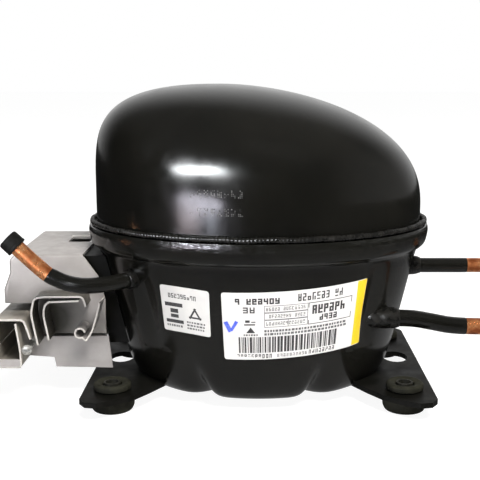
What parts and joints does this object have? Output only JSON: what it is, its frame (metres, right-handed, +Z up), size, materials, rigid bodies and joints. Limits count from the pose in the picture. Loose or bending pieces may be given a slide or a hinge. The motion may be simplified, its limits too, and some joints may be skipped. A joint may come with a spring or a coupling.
{
  "type": "hermetic reciprocating compressor",
  "caption": "Welded oval shell on grommeted feet holding a sprung motor and piston pump, with capped copper tubes and a sheet-metal terminal box.",
  "frame": {"origin": "on the floor under the middle of the oval shell", "axes": "+X towards the suction and discharge tubes, -Y towards the rating label's side, +Z up"},
  "size_m": [0.3002, 0.1548, 0.1806],
  "materials": {
    "black_paint": "glossy black stoving paint over pressed steel",
    "weld": "painted over, lumpy weld bead",
    "zinc_sheet": "galvanised sheet, satin",
    "copper": "copper tube, black paint up to the bare ends",
    "rubber": "matte rubber",
    "steel": "machined or drawn steel",
    "cast_iron": "grey cast iron, machined where it runs",
    "lamination": "stacked electrical steel",
    "winding": "enamelled copper wire",
    "aluminium": "die-cast",
    "muffler_plastic": "moulded",
    "relay_plastic": "moulded",
    "gasket_fibre": "pressed fibre"
  },
  "bodies": {
    "housing": {"housing_body": "black_paint", "housing_cover": "black_paint", "seam_weld": "weld", "foot_plate_left": "black_paint", "foot_plate_right": "black_paint", "grommet_front_left": "rubber", "grommet_front_right": "rubber", "grommet_back_left": "rubber", "grommet_back_right": "rubber", "grommet_sleeve_front_left": "steel", "grommet_sleeve_front_right": "steel", "grommet_sleeve_back_left": "steel", "grommet_sleeve_back_right": "steel", "suction_tube": "copper", "discharge_tube": "copper", "process_tube": "copper", "suction_collar": "black_paint", "discharge_collar": "black_paint", "process_collar": "black_paint", "terminal_header": "steel", "terminal_pin_common": "steel", "terminal_pin_run": "steel", "terminal_pin_start": "steel", "terminal_fence": "black_paint", "terminal_cover": "zinc_sheet", "cover_bracket": "zinc_sheet", "inner_strap": "zinc_sheet", "rolled_leaf": "zinc_sheet", "cord_clamp_upper": "zinc_sheet", "cord_clamp_lower": "zinc_sheet", "cord_clamp_screw": "steel", "start_relay": "relay_plastic", "overload_protector": "relay_plastic", "spring_front_left": "steel", "spring_front_right": "steel", "spring_back_left": "steel", "spring_back_right": "steel"},
    "retaining_clip": {"cover_clip": "zinc_sheet"},
    "suction_cap": {"suction_plug": "rubber"},
    "discharge_cap": {"discharge_plug": "rubber"},
    "process_cap": {"process_plug": "rubber"},
    "pump_unit": {"cylinder_block": "cast_iron", "head_gasket": "gasket_fibre", "valve_plate": "steel", "cylinder_head": "cast_iron", "suction_muffler": "muffler_plastic", "discharge_muffler": "cast_iron", "discharge_loop": "copper", "stator_core": "lamination", "stator_winding_upper": "winding", "stator_winding_lower": "winding", "thrust_washer": "steel"},
    "crank": {"crankshaft": "cast_iron", "rotor": "aluminium", "oil_pickup": "steel"},
    "slider": {"slide_block": "steel"},
    "oil_plug": {"oil_passage_plug": "steel"},
    "yoke": {"piston_yoke": "aluminium"}
  },
  "joints": [
    {"name": "clip_slide", "type": "slide", "parent": "housing", "child": "retaining_clip", "axis": [0, -1, 0], "range_m": [0, 0.028]},
    {"name": "suction_cap_pull", "type": "slide", "parent": "housing", "child": "suction_cap", "axis": [1, 0, 0], "range_m": [0, 0.02]},
    {"name": "discharge_cap_pull", "type": "slide", "parent": "housing", "child": "discharge_cap", "axis": [1, 0, 0], "range_m": [0, 0.02]},
    {"name": "process_cap_pull", "type": "slide", "parent": "housing", "child": "process_cap", "axis": [-0.7236, 0, 0.6902], "range_m": [0, 0.02]},
    {"name": "pump_float", "type": "slide", "parent": "housing", "child": "pump_unit", "axis": [0, 0, 1], "range_m": [-0.002, 0.002], "stiffness_N_per_m": 24000, "springref_m": 0.0018, "deforming": ["spring_front_left", "spring_front_right", "spring_back_left", "spring_back_right"]},
    {"name": "crank_spin", "type": "hinge", "parent": "pump_unit", "child": "crank", "pos_m": [0, 0, 0.08], "axis": [0, 0, 1], "continuous": true},
    {"name": "slider_turn", "type": "hinge", "parent": "crank", "child": "slider", "pos_m": [0, 0.007, 0.143], "axis": [0, 0, 1], "continuous": true},
    {"name": "oil_plug_turn", "type": "hinge", "parent": "crank", "child": "oil_plug", "pos_m": [0, 0.0035, 0.151], "axis": [0, 0, 1], "continuous": true},
    {"name": "yoke_turn", "type": "hinge", "parent": "oil_plug", "child": "yoke", "pos_m": [0, 0, 0.143], "axis": [0, 0, 1], "continuous": true}
  ],
  "couplings": [
    {"joint": "slider_turn", "follows": "crank_spin", "ratio": -1},
    {"joint": "oil_plug_turn", "follows": "crank_spin", "ratio": -2},
    {"joint": "yoke_turn", "follows": "crank_spin", "ratio": 1}
  ]
}
